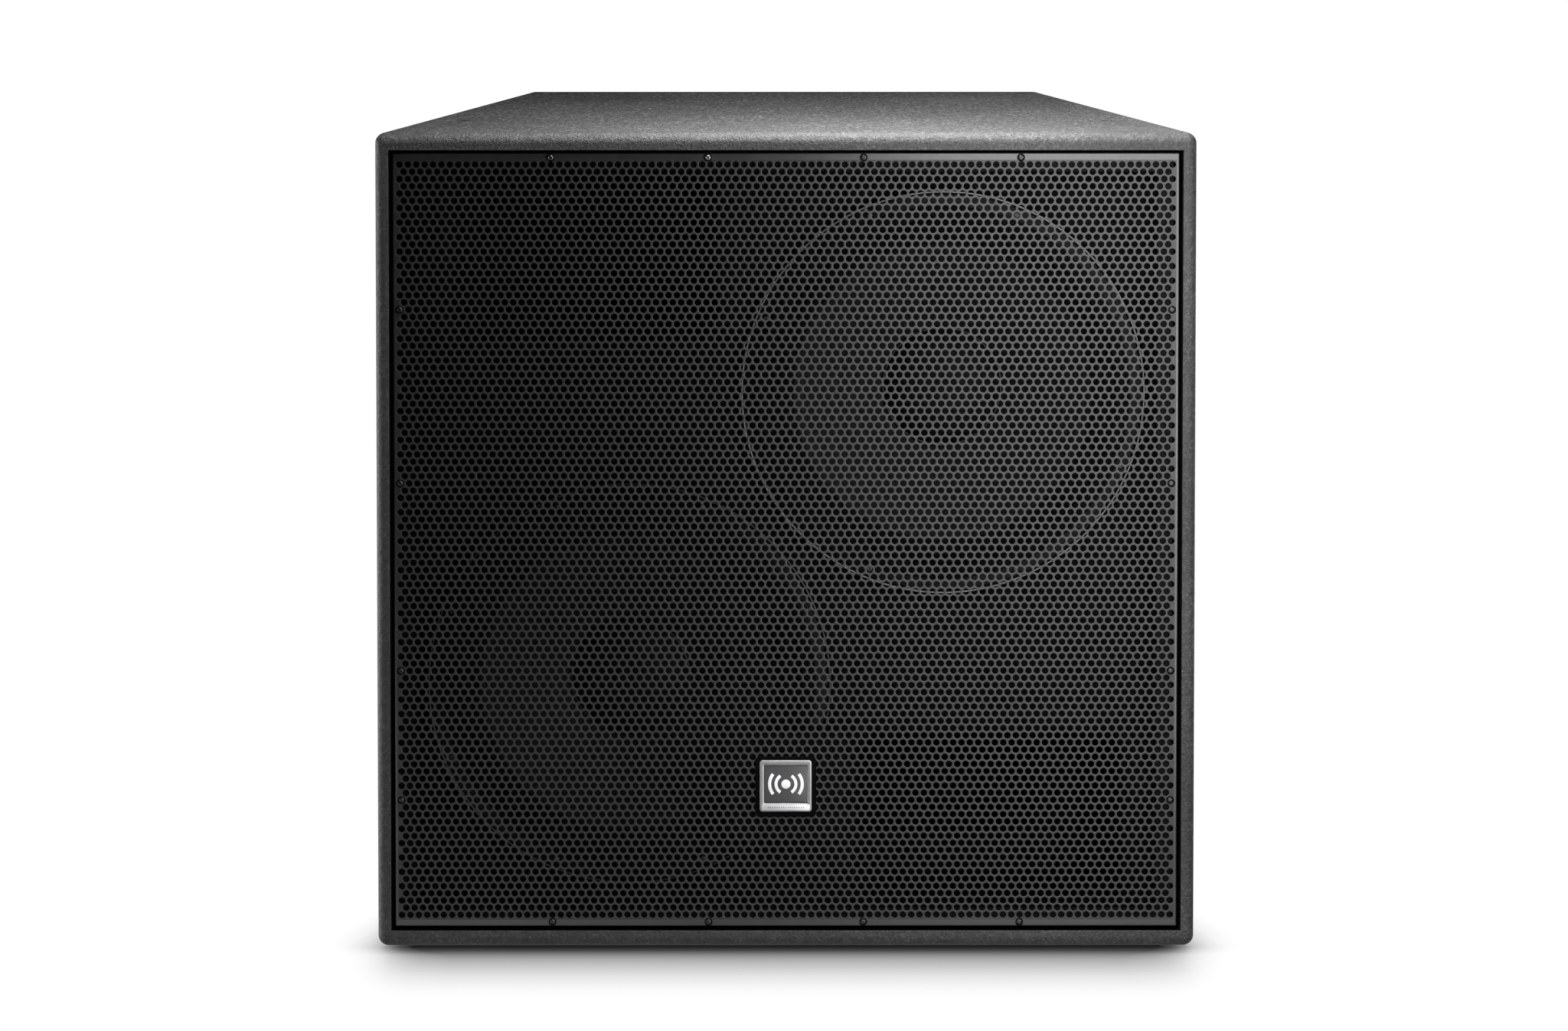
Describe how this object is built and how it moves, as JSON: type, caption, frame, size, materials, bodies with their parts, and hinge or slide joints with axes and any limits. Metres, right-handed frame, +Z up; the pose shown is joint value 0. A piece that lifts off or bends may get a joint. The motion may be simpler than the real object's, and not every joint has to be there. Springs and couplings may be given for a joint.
{
  "type": "subwoofer cabinet",
  "caption": "Square-fronted trapezoid bass cabinet with large cone drivers on the diagonal, box ports, a recessed perforated steel grille and rear input panel.",
  "frame": {"origin": "centre of the base's bounding box, on the floor", "axes": "+Z up, the grille faces -Y, +X is to the right seen from the front"},
  "size_m": [0.775, 0.6, 0.775],
  "materials": {
    "coated_wood": "textured black coating on 15 to 18 mm plywood",
    "port_duct": "black painted plywood",
    "bare_wood": "bare plywood",
    "rail": "black painted softwood",
    "grille_steel": "satin black powder coat",
    "badge_silver": "satin silver",
    "badge_field": null,
    "insert_steel": "black oxide",
    "panel_steel": "satin black powder coat",
    "socket_plastic": "moulded black",
    "cover_plastic": "smoked",
    "casting": "cast, painted black",
    "gasket_foam": "matt black",
    "surround_cloth": "treated cloth",
    "cone_paper": "pressed paper pulp",
    "spider_cloth": "impregnated cloth",
    "coil_copper": "edge-wound coil on a former",
    "plated_steel": "zinc plated",
    "ferrite": "ground ferrite",
    "lead_rubber": "black sheath",
    "lining_fibre": "loose polyester fibre"
  },
  "bodies": {
    "cabinet": {"top_panel": "coated_wood", "bottom_panel": "coated_wood", "left_side_panel": "coated_wood", "right_side_panel": "coated_wood", "rear_panel": "coated_wood", "front_baffle": "coated_wood", "lower_port_duct": "port_duct", "upper_port_duct": "port_duct", "window_brace": "bare_wood", "grille_rail_top": "rail", "grille_rail_bottom": "rail", "grille_rail_left": "rail", "grille_rail_right": "rail", "grille": "grille_steel", "badge_bezel": "badge_silver", "badge_backing": "socket_plastic", "input_gasket": "gasket_foam", "hinge_pin": "plated_steel", "badge_insert": "badge_field", "top_front_left_point": "insert_steel", "top_front_right_point": "insert_steel", "top_rear_left_point": "insert_steel", "top_rear_right_point": "insert_steel", "bottom_front_left_point": "insert_steel", "bottom_front_right_point": "insert_steel", "bottom_rear_left_point": "insert_steel", "bottom_rear_right_point": "insert_steel", "rear_left_point": "insert_steel", "rear_right_point": "insert_steel", "input_panel": "panel_steel", "input_socket": "socket_plastic", "link_socket": "socket_plastic", "barrier_strip": "socket_plastic", "upper_terminal_block": "socket_plastic", "lower_terminal_block": "socket_plastic", "upper_basket": "casting", "upper_gasket": "gasket_foam", "upper_surround": "surround_cloth", "upper_spider": "spider_cloth", "upper_top_plate": "plated_steel", "upper_back_plate": "plated_steel", "upper_magnet": "ferrite", "upper_lead": "lead_rubber", "lower_basket": "casting", "lower_gasket": "gasket_foam", "lower_surround": "surround_cloth", "lower_spider": "spider_cloth", "lower_top_plate": "plated_steel", "lower_back_plate": "plated_steel", "lower_magnet": "ferrite", "lower_lead": "lead_rubber", "rear_lining": "lining_fibre"},
    "upper_cone_assembly": {"upper_cone": "cone_paper", "upper_dust_cap": "cone_paper", "upper_voice_coil": "coil_copper"},
    "lower_cone_assembly": {"lower_cone": "cone_paper", "lower_dust_cap": "cone_paper", "lower_voice_coil": "coil_copper"},
    "terminal_cover": {"barrier_cover": "cover_plastic"}
  },
  "joints": [
    {"name": "upper_cone_slide", "type": "slide", "parent": "cabinet", "child": "upper_cone_assembly", "axis": [0, -1, 0], "range_m": [-0.008, 0.008], "stiffness_N_per_m": 6000, "deforming": ["upper_surround", "upper_spider"]},
    {"name": "lower_cone_slide", "type": "slide", "parent": "cabinet", "child": "lower_cone_assembly", "axis": [0, -1, 0], "range_m": [-0.008, 0.008], "stiffness_N_per_m": 6000, "deforming": ["lower_surround", "lower_spider"]},
    {"name": "barrier_cover_hinge", "type": "hinge", "parent": "cabinet", "child": "terminal_cover", "pos_m": [0, 0.2962, 0.2015], "axis": [1, 0, 0], "range_deg": [0, 100]}
  ]
}
